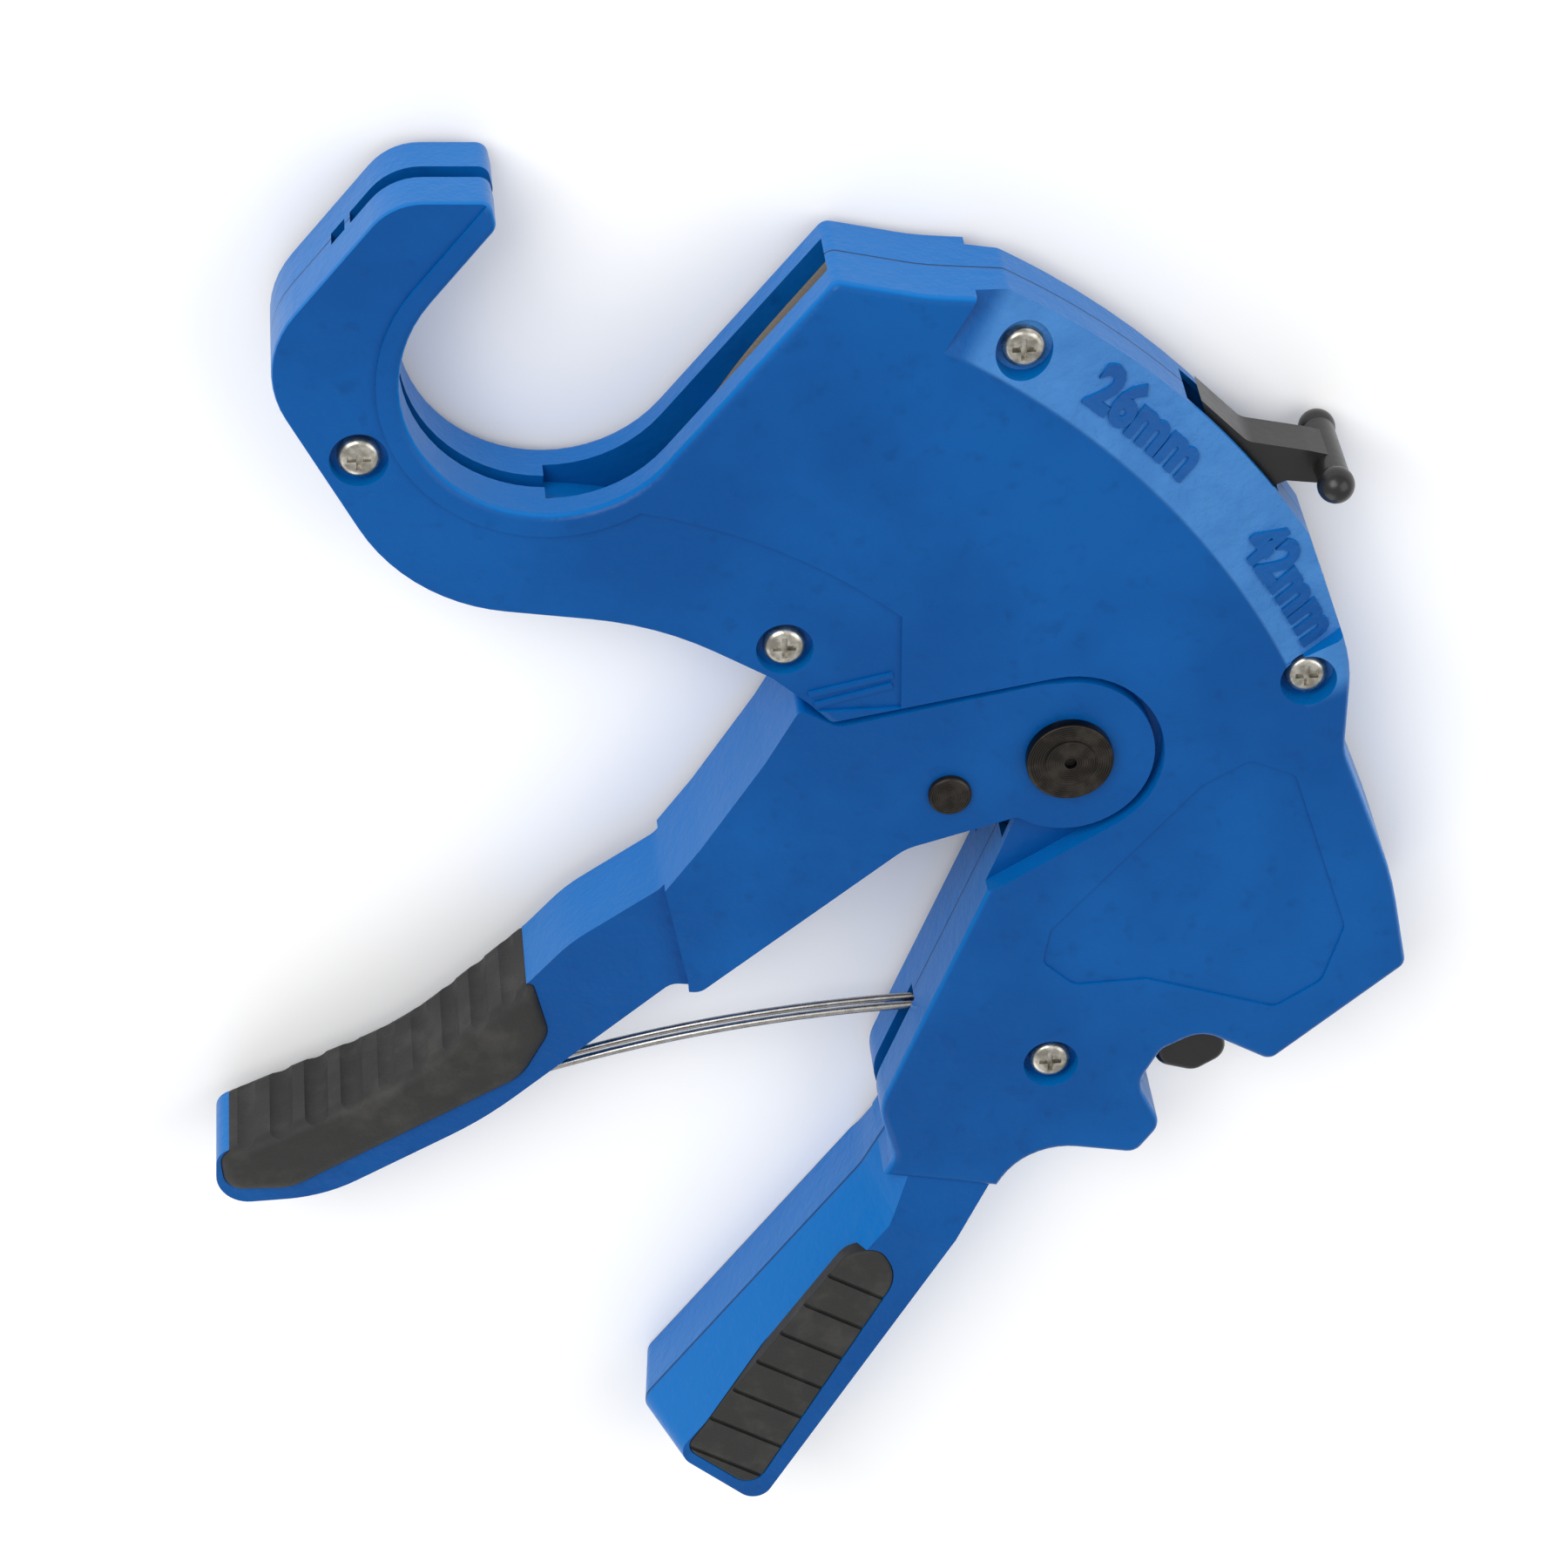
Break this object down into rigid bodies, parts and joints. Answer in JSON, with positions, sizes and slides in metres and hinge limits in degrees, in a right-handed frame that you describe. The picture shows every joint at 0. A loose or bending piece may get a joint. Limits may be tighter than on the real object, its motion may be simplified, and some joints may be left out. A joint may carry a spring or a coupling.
{
  "type": "pvc pipe cutter",
  "caption": "Ratcheting plastic pipe cutter: squeezing the handle feeds a curved blade across the pipe in the hook.",
  "frame": {"origin": "main pivot's axis, on the plane that the tool lies on", "axes": "+X from the hook towards the tail, +Y from the handles towards the hook, +Z out of the front shell"},
  "size_m": [0.182, 0.2361, 0.0242],
  "materials": {
    "painted_casting": "gloss blue paint on cast alloy, with a little orange peel",
    "grip_rubber": "matt ribbed rubber",
    "black_steel": "black oxide with turning marks",
    "zinc_steel": "bright zinc plate",
    "spring_steel": "drawn wire",
    "blade_steel": "dark hardened plate with a ground edge",
    "black_plastic": "gloss black moulding"
  },
  "bodies": {
    "housing": {"front_shell": "painted_casting", "rear_shell": "painted_casting", "shell_screws": "zinc_steel", "shell_dowels": "zinc_steel", "front_grip_insert": "grip_rubber", "rear_grip_insert": "grip_rubber", "pivot_pin": "black_steel", "pivot_washer": "black_steel", "pivot_clip": "black_steel", "feed_spring": "spring_steel", "holding_pawl_pin": "zinc_steel", "holding_pawl_spring": "spring_steel", "spring_post": "zinc_steel", "handle_spring_coil": "spring_steel"},
    "moving_handle": {"moving_handle": "painted_casting", "handle_grip": "grip_rubber", "pawl_pin": "black_steel", "pawl_pin_clip": "black_steel", "drive_pawl_spring": "spring_steel"},
    "drive_pawl": {"drive_pawl": "black_steel"},
    "blade": {"cutting_blade": "blade_steel", "feed_rack": "blade_steel", "blade_rivets": "blade_steel"},
    "gear": {"ratchet_gear": "black_steel"},
    "holding_pawl": {"holding_pawl": "black_steel", "release_button": "black_plastic"},
    "selector": {"selector_lever": "black_plastic"},
    "spring_leg": {"handle_spring_leg": "spring_steel"}
  },
  "joints": [
    {"name": "handle_squeeze", "type": "hinge", "parent": "housing", "child": "moving_handle", "pos_m": [0, 0, 0.012], "axis": [0, 0, 1], "range_deg": [0, 24], "stiffness_Nm_per_rad": 0.6, "springref_deg": -8.59},
    {"name": "drive_pawl_lift", "type": "hinge", "parent": "moving_handle", "child": "drive_pawl", "pos_m": [-0.0176, -0.0056, 0.012], "axis": [0, 0, 1], "range_deg": [-8, 0], "stiffness_Nm_per_rad": 0.01, "springref_deg": 2.86},
    {"name": "blade_feed", "type": "hinge", "parent": "housing", "child": "blade", "pos_m": [-0.08371, -0.04187, 0.012], "axis": [0, 0, 1], "range_deg": [0, 25], "stiffness_Nm_per_rad": 0.3, "springref_deg": -5.73},
    {"name": "gear_turn", "type": "hinge", "parent": "housing", "child": "gear", "pos_m": [0, 0, 0.012], "axis": [0, 0, 1], "range_deg": [-1, 206]},
    {"name": "release_press", "type": "hinge", "parent": "housing", "child": "holding_pawl", "pos_m": [0.018, -0.036, 0.012], "axis": [0, 0, 1], "range_deg": [-6, 0], "stiffness_Nm_per_rad": 0.05, "springref_deg": 2.86},
    {"name": "selector_swing", "type": "hinge", "parent": "housing", "child": "selector", "pos_m": [0, 0, 0.012], "axis": [0, 0, 1], "range_deg": [0, 14]},
    {"name": "spring_leg_swing", "type": "hinge", "parent": "housing", "child": "spring_leg", "pos_m": [-0.013, -0.05, 0.012], "axis": [0, 0, 1], "range_deg": [-1, 38]}
  ],
  "couplings": [
    {"joint": "gear_turn", "follows": "blade_feed", "ratio": 8.2},
    {"joint": "spring_leg_swing", "follows": "handle_squeeze", "ratio": 1.55}
  ]
}
